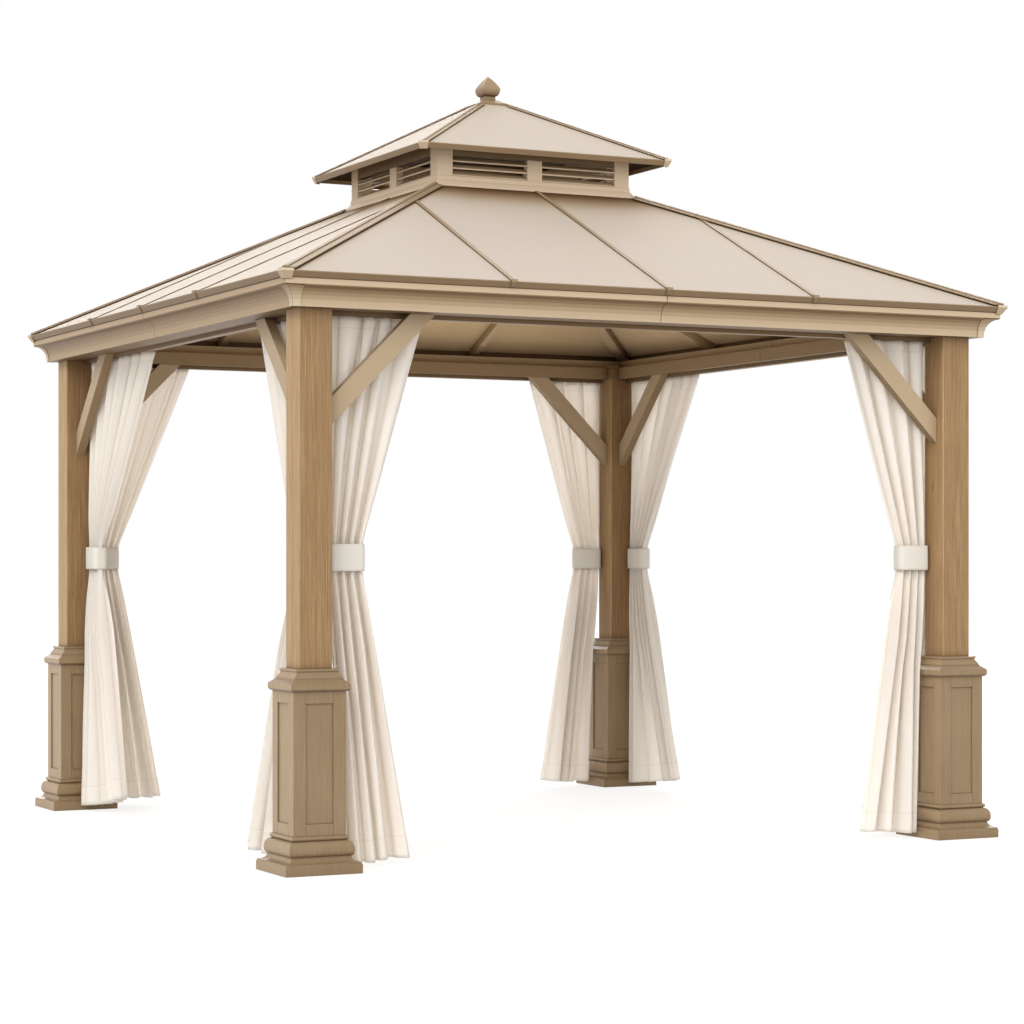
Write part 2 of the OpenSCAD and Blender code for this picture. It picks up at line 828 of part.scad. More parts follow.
module upper_drip_trim() {
    back = upper_half - upper_drip_lean - drip_t;
    outline = concat(upper_face, [
        [upper_edge + seat, upper_eave_z + drip_lip],
        [upper_edge + seat, upper_under(upper_edge) - seat - seat],
        [back, upper_under(back) - seat],
        [back, upper_foot_z]
    ]);
    color(trim_tan) on_all_sides() mitred_front(outline);
}

module upper_hip_caps() {
    scale = upper_hip_w / hip_w;
    section = hip_cap_section(
        upper_hip_w, hip_t * scale, wing_gap * scale, ridge_w * scale, ridge_h * scale,
        upper_hip_slope);
    low = upper_edge - trim_gap;
    foot = low + upper_hip_w;
    color(trim_tan) for (i = [0 : 3]) rotate([0, 0, 90 * i]) intersection() {
        hip_bar(section, upper_hip_slope, foot, apex_half + trim_gap, upper_top(foot));
        translate([-low, -low, 0]) cube([2 * low, 2 * low, reach]);
    }
}

apex_ledge = 6;
apex_flat = neck_finial_w / 2 + apex_ledge;
apex_top_z = upper_top(apex_flat) + seat + apex_t;

module apex_cap() {
    wide = apex_half + apex_ledge;
    color(trim_tan) difference() {
        moulded_block([
            [apex_half, upper_top(apex_half) - past],
            [apex_half, upper_top(apex_half) + seat + apex_t],
            [apex_flat, apex_top_z]
        ]);
        moulded_block([
            [wide, upper_under(wide)], [wide, upper_top(wide) + seat],
            [apex_half / 2, upper_top(apex_half / 2) + seat]
        ]);
    }
}

// A square onion: the same curve on all four faces, drawn in to a point
module finial() {
    widest = 0.36;
    draw_in = 0.14;
    bulb_z = apex_top_z + neck_finial_h;
    wide_z = bulb_z + finial_h * widest;
    neck = neck_finial_w / 2;
    wide = finial_w / 2;
    crest = bulb_z + finial_h;
    outline = concat(
        [[neck, apex_top_z], [neck - trim_gap, bulb_z - trim_gap]],
        [for (i = [0 : curve_steps])
            let (t = i / curve_steps)
            [neck + (wide - neck) * sin(90 * t), bulb_z + (wide_z - bulb_z) * (1 - cos(90 * t))]],
        [for (i = [1 : 2 * curve_steps - 1])
            let (t = i / (2 * curve_steps))
            [wide * cos(90 * t) * (1 - draw_in * sin(180 * t)), wide_z + (crest - wide_z) * t]],
        [[0.5, crest]]
    );
    color(tan_paint) moulded_block(outline);
}

// ---- Curtains ----

// Bays 0 and 3 carry their curtains inside the braces, and bays 1 and 2 outside them
function hangs_inside(bay) = bay == 0 || bay == 3;
function is_side_bay(bay) = bay == 1 || bay == 3;
function near_face(bay) = hangs_inside(bay) ? -1 : 1;

// Whether the curtain round the corner from this end of a bay hangs inside too
function meets_inside(bay, end) = hangs_inside(bay) && hangs_inside((bay + (end == 0 ? 3 : 1)) % 4);
function curtain_start(bay, end) = post_w / 2 + (meets_inside(bay, end) ? corner_gap : curtain_gap);

// A slab along one bay, from one distance off the post's centreline to another
module bay_slab(bay, from, to) {
    low = min(near_face(bay) * from, near_face(bay) * to);
    on_side(bay) translate([0, -post_centre - low, 0]) rotate([90, 0, 0])
        linear_extrude(to - from) children();
}

module curtain_rails() {
    color(tan_paint) for (bay = [0 : 3])
        bay_slab(bay, rail_in, rail_in + rail_w)
            translate([-post_inner, rail_z]) square([2 * post_inner, rail_h]);
}

// A curtain seen square to its bay: wide under the rail, gathered at its band, and flared
module curtain_front(bay, end) {
    foot_w = is_side_bay(bay) ? side_curtain_foot_w : curtain_foot_w;
    clear_foot = plinth_w / 2 + cloth_gap;
    clear_body = cap_w / 2 + cloth_gap;
    lean_z = pedestal_h + lean_h;
    start = curtain_start(bay, end);
    translate([-post_centre, 0]) polygon([
        [start, curtain_top_z], [start, lean_z],
        [clear_body, ogee_z], [clear_body, body_z],
        [clear_foot, slope_z], [clear_foot, hem_z],
        [clear_foot + foot_w, hem_z],
        [start + waist_w, tie_z],
        [start + waist_w, tie_z + tie_h],
        [start + curtain_tops[bay][end], curtain_top_z]
    ]);
}

// The same curtain seen along its bay, as distances off the posts' centreline
curtain_side = [
    [fold_in, curtain_top_z], [fold_in, tie_z], [fold_in - foot_spread, hem_z],
    [fold_out + foot_spread_back, hem_z], [fold_out, tie_z], [fold_out, curtain_top_z]
];

module curtain(bay, end) {
    color(cloth) intersection() {
        bay_slab(bay, fold_in - foot_spread, fold_out + foot_spread_back)
            mirror([end, 0]) curtain_front(bay, end);
        on_side(bay) front_length(
            [for (p = curtain_side) [post_centre + near_face(bay) * p[0], p[1]]], -reach / 2, reach / 2);
    }
}

module curtain_front_left() { curtain(0, 0); }
module curtain_front_right() { curtain(0, 1); }
module curtain_right_front() { curtain(1, 0); }
module curtain_right_back() { curtain(1, 1); }
module curtain_back_right() { curtain(2, 0); }
module curtain_back_left() { curtain(2, 1); }
module curtain_left_back() { curtain(3, 0); }
module curtain_left_front() { curtain(3, 1); }

// A band round the waist of every curtain
module tie_bands() {
    w = waist_w + 2 * seat;
    color(cloth) for (bay = [0 : 3]) for (end = [0, 1]) {
        x = -post_centre + curtain_start(bay, end) - seat;
        difference() {
            bay_slab(bay, fold_in - seat - tie_t, fold_out + seat + tie_t) mirror([end, 0])
                translate([x - tie_t, tie_z]) square([w + 2 * tie_t, tie_h]);
            bay_slab(bay, fold_in - seat, fold_out + seat) mirror([end, 0])
                translate([x, tie_z - past]) square([w, tie_h + 2 * past]);
        }
    }
}

posts();
pedestal_bases();
pedestal_bodies();
pedestal_caps();
beams();
corner_blocks();
crown_front();
crown_right();
crown_back();
crown_left();
crown_covers();
eave_rails();
rafters();
hip_rafters();
knee_braces();
roof_front();
roof_right();
roof_back();
roof_left();
drip_trim();
corner_caps();
seam_caps();
hip_caps();
cupola_curb();
cupola_uprights();
cupola_rails();
louvres_front();
louvres_right();
louvres_back();
louvres_left();
upper_roof();
upper_drip_trim();
upper_hip_caps();
apex_cap();
finial();
curtain_rails();
tie_bands();
curtain_front_left();
curtain_front_right();
curtain_right_front();
curtain_right_back();
curtain_back_right();
curtain_back_left();
curtain_left_back();
curtain_left_front();
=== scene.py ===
"""Looks for the hardtop gazebo: finishes for its frame and roof, and its eight gathered curtains."""
import json
import math

import bpy
import numpy as np
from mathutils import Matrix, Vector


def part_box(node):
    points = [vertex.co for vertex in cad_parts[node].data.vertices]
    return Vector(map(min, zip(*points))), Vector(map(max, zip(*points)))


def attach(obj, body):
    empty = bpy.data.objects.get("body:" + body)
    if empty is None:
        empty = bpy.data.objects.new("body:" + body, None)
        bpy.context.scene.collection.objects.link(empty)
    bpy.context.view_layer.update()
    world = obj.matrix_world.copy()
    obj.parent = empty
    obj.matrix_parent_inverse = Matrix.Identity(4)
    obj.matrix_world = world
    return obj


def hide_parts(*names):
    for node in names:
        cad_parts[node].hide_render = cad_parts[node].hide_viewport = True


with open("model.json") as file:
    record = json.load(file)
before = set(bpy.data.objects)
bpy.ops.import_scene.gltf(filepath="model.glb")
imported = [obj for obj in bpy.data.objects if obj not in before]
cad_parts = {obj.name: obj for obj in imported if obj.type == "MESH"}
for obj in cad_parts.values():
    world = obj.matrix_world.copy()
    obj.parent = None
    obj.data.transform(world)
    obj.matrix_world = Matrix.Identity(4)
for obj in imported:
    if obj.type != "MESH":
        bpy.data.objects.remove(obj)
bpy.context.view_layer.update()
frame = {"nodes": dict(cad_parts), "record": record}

# ---- Camera, light and ground, in metres ----

CAMERA_PLACE = (-5.863, -12.017, 1.303)
CAMERA_TURN = math.radians(26.53)  # from +Y towards +X
CAMERA_LENS = 93.6  # mm
CAMERA_SENSOR = 36  # mm
CAMERA_RISE = 0.0479  # share of the image by which the view is shifted up

LAMPS = {  # strength, width in degrees, and the direction towards it
    "key": (1.25, 30, (-0.60, -0.46, 0.66)),
    "fill": (1.0, 50, (-0.40, -0.89, 0.22)),
    "backlight": (3.1, 50, (0.48, 0.83, 0.28)),
}
LAMP_COLOUR = (1, 0.975, 0.94)
ROOM_COLOUR = (1, 0.985, 0.96, 1)
ROOM_STRENGTH = 0.71
WHITE = (1, 1, 1, 1)

FLOOR_HALF = 60
FLOOR_DROP = 0.0006  # how far it lies below the feet
FLOOR_LIT = (0.72, 0.71, 0.69, 1)  # what it reflects onto the gazebo
FLOOR_FAINT = (0.30, 0.30, 0.30, 1)  # what its own shadows are seen by
FLOOR_GLOW = 0.76  # brings the part of it that is seen up to white

# ---- Cloth, in metres ----

CURTAIN_CUTS = {  # number of folds and cut width of each curtain
    "curtain_front_left": (4, 0.80),
    "curtain_front_right": (4, 0.80),
    "curtain_right_front": (6, 1.22),
    "curtain_right_back": (6, 1.22),
    "curtain_back_right": (4, 0.80),
    "curtain_back_left": (5, 0.94),
    "curtain_left_back": (7, 1.40),
    "curtain_left_front": (5, 1.05),
}
CLOTH_T = 0.0014
HEADER_HEM = 0.048
FOOT_HEM = 0.092
SIDE_HEM = 0.022
HEM_LINE = 0.001  # rows of points lie this far to either side of a hem's edge
THREAD = 0.0011
STITCH = 0.0055
STITCH_FADE = (0.0008, 0.0028)  # from the middle of a row of stitches to where it starts and ends fading

FIRST_SEED = 40  # each curtain takes the next number as its own
OUTLINE_ROWS = 360  # rows of points down a curtain's outline
CLOTH_ROWS = 110  # rows down the hung cloth, besides those at its hems
PER_FOLD = 32  # columns of points in one fold
OUTLINE_EASE = 0.05  # how far up and down from its corners the outline is rounded
LOBE = 0.052  # how far a fold stands out from the middle of the cloth, at most
HEM_RISE = 0.22  # share of its extra path by which a slanting column of cloth hangs short
HEADER_PINCH = 0.012  # how far above and below the header's edge the cloth is drawn in
GATHER_DROP = 0.12  # how far the fine gathers reach down from the rail
WAIST_REACH = 0.11  # how far the band's hold reaches up and down the cloth

BAND_T = 0.0024
BAND_SLACK = 0.0025  # from the curtain's CAD solid to its band
BAND_CORNER = 0.024  # radius
BAND_STEPS = 8  # edges round one corner
BAND_ROWS = 15
BAND_SWELL = 0.0012  # how far its middle stands out; its edges are drawn in by a fifth of that
BAND_SEAM = 0.006  # from its edge to its row of stitches

# ---- Finishes, with colours as they look on screen ----

PAINTS = {  # what paint_material takes for each; shelter and under set its painted shade
    "frame_paint": dict(main=(0.785, 0.705, 0.60), dark=(0.735, 0.655, 0.545), shelter=0.42, under=0.3),
    # painted shade: a darker copy of the frame paint for the left crown
    "shaded_paint": dict(main=(0.70, 0.61, 0.495), dark=(0.65, 0.555, 0.44), shelter=0.42, under=0.4),
    "cover_paint": dict(main=(0.82, 0.755, 0.665), dark=(0.77, 0.70, 0.60)),
    "trim_paint": dict(main=(0.60, 0.515, 0.41), dark=(0.545, 0.46, 0.355)),
    "brace_paint": dict(main=(0.70, 0.62, 0.51), dark=(0.65, 0.565, 0.455), shelter=0.8),
    # painted shade: a darker copy of the frame paint for the beams, rails and blocks under the roof
    "shaded_inner_paint": dict(
        main=(0.585, 0.495, 0.38), dark=(0.53, 0.44, 0.325), shelter=0.3, reach=0.3, under=0.8),
    "rafter_paint": dict(main=(0.78, 0.69, 0.57), dark=(0.73, 0.64, 0.51), shelter=0.5, under=1.0),
    # painted light: a paler copy of the frame paint for the cupola's curb and uprights, which lie in the
    # upper roof's shade
    "vent_post_painted_light": dict(main=(0.88, 0.795, 0.69), dark=(0.84, 0.745, 0.635), shelter=0.9),
    # painted shade: a darker copy of the frame paint for the cupola's rails under the upper eave
    "vent_rail_painted_shade": dict(main=(0.62, 0.53, 0.415), dark=(0.56, 0.47, 0.36), shelter=0.3, reach=0.14),
    # painted light and shade: pale slat lips, with near-black undersides and gaps between the slats
    "louvre_painted_light_and_shade": dict(
        main=(0.90, 0.81, 0.69), dark=(0.85, 0.76, 0.63), shelter=0.45, reach=0.06, under=0.1),
    # its last two gains are painted light on the faces along X and painted shade on those along Y
    "pedestal_paint": dict(
        main=(0.66, 0.57, 0.45), dark=(0.565, 0.47, 0.35), shelter=0.85, under=0.6, rough=0.4,
        grain=(1, 1, 0.05), most_dark=0.6, side_light_gains=((1.08, 1.09, 1.11, 1), (0.76, 0.75, 0.73, 1))),
}
WOOD_SIDE_LIGHT = ((1.15, 1.18, 1.22, 1), (0.80, 0.775, 0.725, 1))  # gains of painted light on the faces along X and of painted shade on those along Y
OWN_FINISHES = {  # nodes that don't take the finish of their slot
    "crown_left": "shaded_paint",
    "crown_covers": "cover_paint",
    "corner_caps": "cover_paint",
    "knee_braces": "brace_paint",
    "beams": "shaded_inner_paint",
    "corner_blocks": "shaded_inner_paint",
    "eave_rails": "shaded_inner_paint",
    "curtain_rails": "shaded_inner_paint",
    "rafters": "rafter_paint",
    "hip_rafters": "rafter_paint",
    "cupola_curb": "vent_post_painted_light",
    "cupola_uprights": "vent_post_painted_light",
    "cupola_rails": "vent_rail_painted_shade",
    "louvres_front": "louvre_painted_light_and_shade",
    "louvres_right": "louvre_painted_light_and_shade",
    "louvres_back": "louvre_painted_light_and_shade",
    "louvres_left": "louvre_painted_light_and_shade",
    "upper_roof": "vent_roof_sheet",
}
JOINT_REACH = 0.006  # how far from a joint its dark line fades out, in metres
RING_GAP = 0.0085  # from one growth ring of the posts to the next, in metres


# ---- Node helpers ----


def srgb(r, g, b):
    """A colour as it looks on screen, as the linear RGBA that a shader takes."""
    return tuple(c / 12.92 if c <= 0.04045 else ((c + 0.055) / 1.055) ** 2.4 for c in (r, g, b)) + (1.0,)


def add(tree, kind, inputs=None, **settings):
    """A shader node. inputs gives its sockets values, or other nodes' outputs to link."""
    made = tree.nodes.new("ShaderNode" + kind)
    for key, value in settings.items():
        setattr(made, key, value)
    for key, value in (inputs or {}).items():
        if isinstance(value, bpy.types.NodeSocket):
            tree.links.new(value, made.inputs[key])
        else:
            made.inputs[key].default_value = value
    return made


def math_node(tree, operation, a, b=0.0, c=0.0):
    """The result of one operation on numbers or sockets."""
    return add(tree, "Math", {0: a, 1: b, 2: c}, operation=operation).outputs[0]


def blend_colours(tree, share, a, b, mode="MIX"):
    """Colour a with share of colour b blended over it."""
    return add(tree, "Mix", {0: share, 6: a, 7: b}, data_type="RGBA", blend_type=mode).outputs[2]


def spread(tree, value, low, high, to_low=0.0, to_high=1.0):
    """value from low..high to to_low..to_high, held between them."""
    return add(tree, "MapRange", {0: value, 1: low, 2: high, 3: to_low, 4: to_high}).outputs[0]


def place(tree, stretch=(1, 1, 1)):
    """The point in the object's own frame, stretched."""
    here = add(tree, "TexCoord").outputs["Object"]
    return add(tree, "Mapping", {"Vector": here, "Scale": stretch}).outputs[0]


def normal_part(tree, axis):
    """How far the surface faces along an axis, from -1 to 1."""
    return add(tree, "SeparateXYZ", {0: add(tree, "NewGeometry").outputs["Normal"]}).outputs[axis]


def noise(tree, vector, scale, detail=3.0, roughness=0.55):
    """Noise from 0 to 1."""
    inputs = {"Vector": vector, "Scale": scale, "Detail": detail, "Roughness": roughness}
    return add(tree, "TexNoise", inputs).outputs["Fac"]


def new_material(name):
    """An empty material and its node tree."""
    made = bpy.data.materials.new(name)
    made.use_nodes = True
    made.node_tree.nodes.clear()
    return made, made.node_tree


def darkened(tree, colour, share, low, high, depth, warmth):
    """Darkens a colour as share falls from high to low, down to depth times itself, blue the most."""
    left = spread(tree, share, low, high, depth, 1.0)
    green = math_node(tree, "POWER", left, 1 + warmth * 0.4)
    blue = math_node(tree, "POWER", left, 1 + warmth)
    shade = add(tree, "CombineColor", {0: left, 1: green, 2: blue}).outputs[0]
    return blend_colours(tree, 1.0, colour, shade, "MULTIPLY")


def painted_occlusion_and_joint_lines(tree, colour, reach, depth, warmth=0.0):
    """Darkens a colour where other surfaces lie within reach: dark joint lines at a short reach, painted
    shade at a longer one.
    """
    open_share = add(tree, "AmbientOcclusion", {"Distance": reach}, samples=8).outputs["AO"]
    return darkened(tree, colour, open_share, 0.25, 0.95, depth, warmth)


def joint_lines_and_painted_shade(tree, colour, line, shelter, reach, under):
    """Dark fine lines in the joints, and painted warm shade where other surfaces shelter a face and on
    faces that look down.

    line, shelter and under are the share of its tone that each keeps where it is darkest.
    """
    colour = painted_occlusion_and_joint_lines(tree, painted_occlusion_and_joint_lines(tree, colour, JOINT_REACH, line), reach, shelter, 0.6)
    return darkened(tree, colour, normal_part(tree, 2), -0.95, -0.05, under, 0.6)


def painted_side_light(tree, colour, pale, deep):
    """Painted light and shade: a colour times the gain pale on the faces that look along X, and deep on
    those along Y.
    """
    share = spread(tree, math_node(tree, "ABSOLUTE", normal_part(tree, 0)), 0.5, 0.8)
    return blend_colours(tree, 1.0, colour, blend_colours(tree, share, deep, pale), "MULTIPLY")


def finish_surface(tree, colour, height, rough, bump, distance, specular):
    """A Principled surface with a bump, as the material's output."""
    normal = add(tree, "Bump", {"Strength": bump, "Distance": distance, "Height": height}).outputs[0]
    surface = add(tree, "BsdfPrincipled", {
        "Base Color": colour, "Roughness": rough, "Normal": normal, "Specular IOR Level": specular,
    })
    add(tree, "OutputMaterial", {"Surface": surface.outputs[0]})


# ---- Materials ----


def growth_rings(tree, knot):
    """Lines up the grain, from 0 to 1, that wander slowly and bend round the knots."""
    wander = noise(tree, place(tree, (1, 1, 0.30)), 4.5, 2, 0.5)
    here = add(tree, "SeparateXYZ", {0: add(tree, "TexCoord").outputs["Object"]})
    across = math_node(tree, "ADD", here.outputs[0], here.outputs[1])
    figure = math_node(tree, "MULTIPLY_ADD", wander, 0.11, across)
    figure = math_node(tree, "MULTIPLY_ADD", spread(tree, knot, 0.0, 0.09, 0.03, 0.0), 1.0, figure)
    rings = math_node(tree, "SINE", math_node(tree, "MULTIPLY", figure, 2 * math.pi / RING_GAP))
    return spread(tree, rings, 0.1, 1)


def wood_material():
    """Oiled wood with its grain upright, with painted light on the faces along X, painted shade on those
    along Y, and painted shade where sheltered.
    """
    made, tree = new_material("post_wood")
    streaks = noise(tree, place(tree, (1, 1, 0.018)), 240, 4, 0.7)
    pores = noise(tree, place(tree, (1, 1, 0.02)), 560, 2, 0.5)
    tone = noise(tree, place(tree, (1, 1, 0.08)), 22, 2, 0.5)
    knot = add(tree, "TexVoronoi", {"Vector": place(tree, (1, 1, 0.3)), "Scale": 3.2}).outputs["Distance"]
    rings = math_node(tree, "MULTIPLY", growth_rings(tree, knot), spread(tree, tone, 0.42, 0.62))

    deep, pale = srgb(0.565, 0.445, 0.305), srgb(0.745, 0.63, 0.48)
    oiled, ringed, dark = srgb(0.645, 0.52, 0.375), srgb(0.51, 0.395, 0.27), srgb(0.42, 0.315, 0.205)
    colour = blend_colours(tree, spread(tree, streaks, 0.34, 0.68), deep, pale)
    colour = blend_colours(tree, spread(tree, tone, 0.3, 0.7, 0.0, 0.42), colour, oiled)
    colour = blend_colours(tree, math_node(tree, "MULTIPLY", rings, 0.26), colour, ringed)
    colour = blend_colours(tree, spread(tree, pores, 0.60, 0.74, 0.0, 0.5), colour, dark)
    colour = blend_colours(tree, spread(tree, knot, 0.012, 0.03, 0.6, 0.0), colour, dark)
    # Painted light on the faces along X and painted shade on those along Y
    colour = painted_side_light(tree, colour, *WOOD_SIDE_LIGHT)
    # Dark joint lines, and painted shade where sheltered and on faces that look down
    colour = joint_lines_and_painted_shade(tree, colour, line=0.4, shelter=0.6, reach=0.3, under=0.5)

    height = math_node(tree, "SUBTRACT", streaks, math_node(tree, "MULTIPLY", pores, 0.6))
    rough = spread(tree, streaks, 0.3, 0.7, 0.62, 0.48)
    finish_surface(tree, colour, height, rough, bump=0.35, distance=0.0012, specular=0.3)
    return made


def paint_material(
        name, main, dark, shelter=0.5, reach=0.11, under=0.5, rough=0.49, grain=(1, 1, 1), most_dark=0.25,
        side_light_gains=None):
    """Satin paint with a faint tone over it and, where grain is stretched, the wood under it, with dark
    joint lines and painted shade.

    most_dark is the largest share of the dark colour, and the two gains, when given, paint light on the
    faces along X and shade on those along Y.
    """
    made, tree = new_material(name)
    tone = noise(tree, place(tree), 3.2, 3, 0.6)
    fine = noise(tree, place(tree, grain), 120, 4, 0.6)
    grit = noise(tree, place(tree), 1400, 1, 0.5)
    both = math_node(tree, "MULTIPLY_ADD", fine, 0.6, math_node(tree, "MULTIPLY", tone, 0.4))
    dark_share = spread(tree, both, 0.36, 0.66, most_dark, 0.0)
    colour = blend_colours(tree, dark_share, srgb(*main), srgb(*dark))
    # Painted light on the faces along X and painted shade on those along Y
    if side_light_gains:
        colour = painted_side_light(tree, colour, *side_light_gains)
    # Dark joint lines, and painted shade where sheltered and on faces that look down
    colour = joint_lines_and_painted_shade(tree, colour, 0.5, shelter, reach, under)

    height = math_node(tree, "MULTIPLY_ADD", grit, 0.3, fine)
    roughness = spread(tree, fine, 0.3, 0.7, rough + 0.05, rough - 0.05)
    finish_surface(tree, colour, height, roughness, bump=0.12, distance=0.0004, specular=0.35)
    return made


def roof_material(name, under_main, under_dark):
    """Coated roof sheet: pale and matt on top, and with a coat of its own underneath."""
    made, tree = new_material(name)
    tone = noise(tree, place(tree), 1.6, 3, 0.6)
    fine = noise(tree, place(tree), 60, 3, 0.6)
    grit = noise(tree, place(tree), 1800, 1, 0.5)
    top = blend_colours(
        tree, spread(tree, tone, 0.35, 0.7, 0.0, 0.5), srgb(0.775, 0.733, 0.692), srgb(0.75, 0.704, 0.653))
    top = blend_colours(tree, spread(tree, fine, 0.55, 0.8, 0.0, 0.18), top, srgb(0.75, 0.69, 0.615))
    # A broad shade near the cupola, and a closer one beside the caps
    top = painted_occlusion_and_joint_lines(tree, painted_occlusion_and_joint_lines(tree, top, 1.8, 0.0, 0.9), 0.4, 0.45, 1.0)
    under = blend_colours(tree, spread(tree, tone, 0.35, 0.7), srgb(*under_main), srgb(*under_dark))
    colour = blend_colours(tree, spread(tree, normal_part(tree, 2), 0.0, 0.2), under, top)
    colour = painted_occlusion_and_joint_lines(tree, colour, JOINT_REACH, 0.5)

    height = math_node(tree, "MULTIPLY_ADD", grit, 0.4, fine)
    rough = spread(tree, tone, 0.3, 0.7, 0.72, 0.66)
    finish_surface(tree, colour, height, rough, bump=0.1, distance=0.0004, specular=0.12)
    return made


def waves(tree, value, length):
    """A sine wave of that length along value."""
    return math_node(tree, "SINE", math_node(tree, "MULTIPLY", value, 2 * math.pi / length))


def cloth_material(name, main, shade, passes, stitched):
    """Plain-woven cloth that lets a share of the light through, with rows of stitches.

    stitched holds a line for each row: (attribute, distance, UV axis).
    """
    made, tree = new_material(name)
    uv = add(tree, "UVMap", uv_map="cloth").outputs[0]
    apart = add(tree, "SeparateXYZ", {0: uv})
    weave = math_node(
        tree, "MULTIPLY", waves(tree, apart.outputs[0], THREAD), waves(tree, apart.outputs[1], THREAD))
    slub = noise(tree, add(tree, "Mapping", {"Vector": uv, "Scale": (1, 0.03, 1)}).outputs[0], 420, 2, 0.5)
    tone = noise(tree, place(tree), 4.0, 3, 0.6)
    both = math_node(tree, "MULTIPLY_ADD", slub, 0.55, math_node(tree, "MULTIPLY", tone, 0.45))
    colour = blend_colours(tree, spread(tree, both, 0.35, 0.65, 0.0, 0.35), srgb(*main), srgb(*shade))
    seam = srgb(0.62, 0.53, 0.43)
    height = math_node(tree, "MULTIPLY", weave, 0.25)
    for attribute, distance, axis in stitched:
        dash = spread(tree, waves(tree, apart.outputs[axis], STITCH), -0.4, 0.2, 0.55, 1.0)
        held = add(tree, "Attribute", attribute_name=attribute).outputs["Fac"]
        off = math_node(tree, "ABSOLUTE", math_node(tree, "SUBTRACT", held, distance))
        line = math_node(tree, "MULTIPLY", spread(tree, off, *STITCH_FADE, 1.0, 0.0), dash)
        colour = blend_colours(tree, math_node(tree, "MULTIPLY", line, 0.16), colour, seam)
        height = math_node(tree, "SUBTRACT", height, line)
    # A faint warm shade between the folds
    colour = painted_occlusion_and_joint_lines(tree, colour, 0.05, 0.905, 0.9)
    normal = add(tree, "Bump", {"Strength": 0.3, "Distance": 0.0006, "Height": height}).outputs[0]
    front = add(tree, "BsdfPrincipled", {
        "Base Color": colour, "Roughness": 0.85, "Normal": normal, "Specular IOR Level": 0.2,
        "Sheen Weight": 0.15, "Sheen Roughness": 0.5,
    })
    through = add(tree, "BsdfTranslucent", {"Color": colour, "Normal": normal})
    surface = add(tree, "MixShader", {0: passes, 1: front.outputs[0], 2: through.outputs[0]})
    add(tree, "OutputMaterial", {"Surface": surface.outputs[0]})
    return made


def make_materials():
    """Every finish of the gazebo, by name."""
    made = {name: paint_material(name, **look) for name, look in PAINTS.items()}
    made["post_wood"] = wood_material()
    made["roof_sheet"] = roof_material("roof_sheet", (0.86, 0.755, 0.605), (0.82, 0.715, 0.565))
    # Its near-black underside is painted shade inside the cupola, seen through the louvres
    made["vent_roof_sheet"] = roof_material("vent_roof_sheet", (0.24, 0.19, 0.14), (0.21, 0.16, 0.11))
    made["curtain_cloth"] = cloth_material(
        "curtain_cloth", (0.997, 0.991, 0.984), (0.992, 0.983, 0.972), 0.5,
        [("from_top", HEADER_HEM, 0), ("from_foot", FOOT_HEM, 0), ("from_side", SIDE_HEM, 1)])
    made["band_cloth"] = cloth_material(
        "band_cloth", (0.92, 0.907, 0.883), (0.905, 0.89, 0.862), 0.15,
        [("from_top", BAND_SEAM, 0), ("from_foot", BAND_SEAM, 0)])
    return made


# ---- Frame finishes ----


def dress_frame(materials):
    """Gives each CAD node its own finish, or that of its slot."""
    slots = {part["node"]: part["material_slot"] for part in frame["record"]["subparts"]}
    for name, node in frame["nodes"].items():
        node.data.materials.clear()
        node.data.materials.append(materials[OWN_FINISHES.get(name, slots[name])])


# ---- Curtains ----


def cut_at(node, heights, axis):
    """How far a CAD solid reaches along an axis, low and high, where it is cut at each height."""
    mesh = frame["nodes"][node].data
    co = np.array([v.co for v in mesh.vertices], float)
    ends = np.array([e.vertices for e in mesh.edges], int)
    a, b = co[ends[:, 0]], co[ends[:, 1]]
    low, high = [], []
    for z in heights:
        crossing = (np.minimum(a[:, 2], b[:, 2]) <= z) & (np.maximum(a[:, 2], b[:, 2]) >= z)
        p, q = a[crossing], b[crossing]
        rise = np.where(np.abs(q[:, 2] - p[:, 2]) < 1e-9, 1.0, q[:, 2] - p[:, 2])
        share = np.clip((z - p[:, 2]) / rise, 0, 1)
        places = p[:, axis] + (q[:, axis] - p[:, axis]) * share
        low.append(places.min())
        high.append(places.max())
    return np.array(low), np.array(high)


def taut(z, edge, sign):
    """An edge pulled straight, on its own side of where it was. z falls, and sign says which side."""
    held = [0]
    for k in range(1, len(z)):
        while len(held) > 1:
            a, b = held[-2], held[-1]
            straight = edge[a] + (edge[k] - edge[a]) * (z[b] - z[a]) / (z[k] - z[a])
            if sign * (edge[b] - straight) > 0:
                break
            held.pop()
        held.append(k)
    return np.interp(-z, -z[held], edge[held])


def eased(values, steps):
    """Values smoothed along their length, with both ends held."""
    window = np.hanning(2 * steps + 3)[1:-1]
    padded = np.concatenate([np.full(steps, values[0]), values, np.full(steps, values[-1])])
    return np.convolve(padded, window / window.sum(), mode="valid")


def fold_values(draw, folds, low, high, columns):
    """A random value for each fold, passing smoothly from fold to fold."""
    values = draw.uniform(low, high, folds)
    at = (np.arange(folds) + 0.5) / folds
    return eased(np.interp(columns, at, values), PER_FOLD // 3)


def fold_places(draw, folds, columns):
    """Where each column of cloth lies across the curtain, from 0 to 1, with folds of uneven width."""
    widths = draw.uniform(0.4, 1.7, folds)
    bounds = np.concatenate([[0], np.cumsum(widths) / widths.sum()])
    return eased(np.interp(columns, np.linspace(0, 1, folds + 1), bounds), PER_FOLD // 3)


def long_axis(node):
    """The axis that a curtain runs along, and the one across its folds."""
    low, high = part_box(node)
    along = 0 if high.x - low.x > high.y - low.y else 1
    return along, 1 - along


